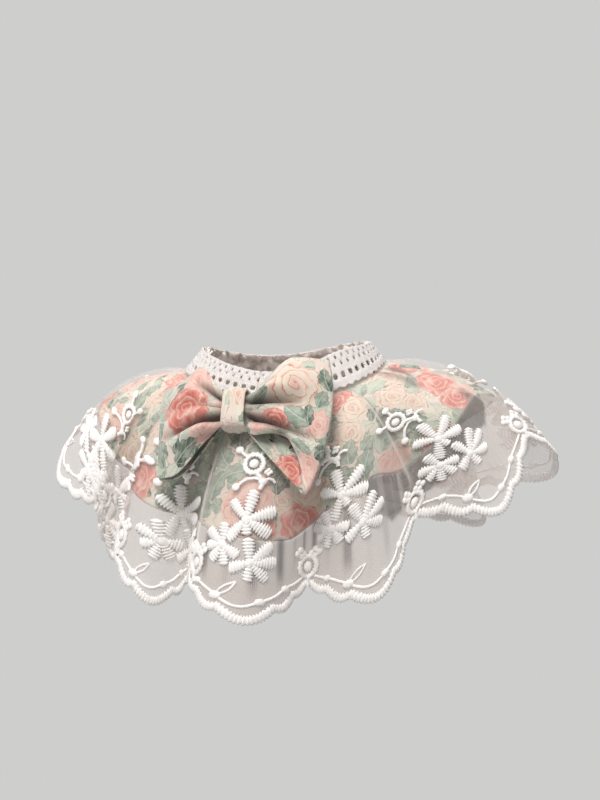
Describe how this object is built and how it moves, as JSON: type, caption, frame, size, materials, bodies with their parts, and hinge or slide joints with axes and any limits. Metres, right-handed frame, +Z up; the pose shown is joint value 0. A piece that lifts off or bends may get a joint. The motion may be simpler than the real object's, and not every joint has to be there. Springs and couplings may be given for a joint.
{
  "type": "lace bib collar",
  "caption": "Slip-on bib collar: a printed cotton ruffle under a longer embroidered net ruffle, gathered to a crochet neckband, with a cloth bow in front.",
  "frame": {"origin": "centre of the neck opening, at about the height of the neckband's top edge", "axes": "+Z up through the neck opening, -Y to the front, where the bow is, +X to the right of a front view"},
  "size_m": [0.2441, 0.203, 0.1245],
  "materials": {
    "net": "sheer",
    "printed_cotton": "matte",
    "crochet_cotton": "matte",
    "satin_thread": "satin"
  },
  "bodies": {
    "root": {"crochet_neckband": "crochet_cotton", "net_ruffle": "net", "cotton_ruffle": "printed_cotton", "flower_cluster_01": "satin_thread", "flower_cluster_02": "satin_thread", "flower_cluster_03": "satin_thread", "flower_cluster_04": "satin_thread", "flower_cluster_05": "satin_thread", "flower_cluster_06": "satin_thread", "flower_cluster_07": "satin_thread", "flower_cluster_08": "satin_thread", "flower_cluster_09": "satin_thread", "flower_cluster_10": "satin_thread", "flower_cluster_11": "satin_thread", "flower_cluster_12": "satin_thread", "flower_cluster_13": "satin_thread", "flower_cluster_14": "satin_thread", "bow_loops": "printed_cotton", "bow_knot": "printed_cotton"}
  },
  "joints": []
}
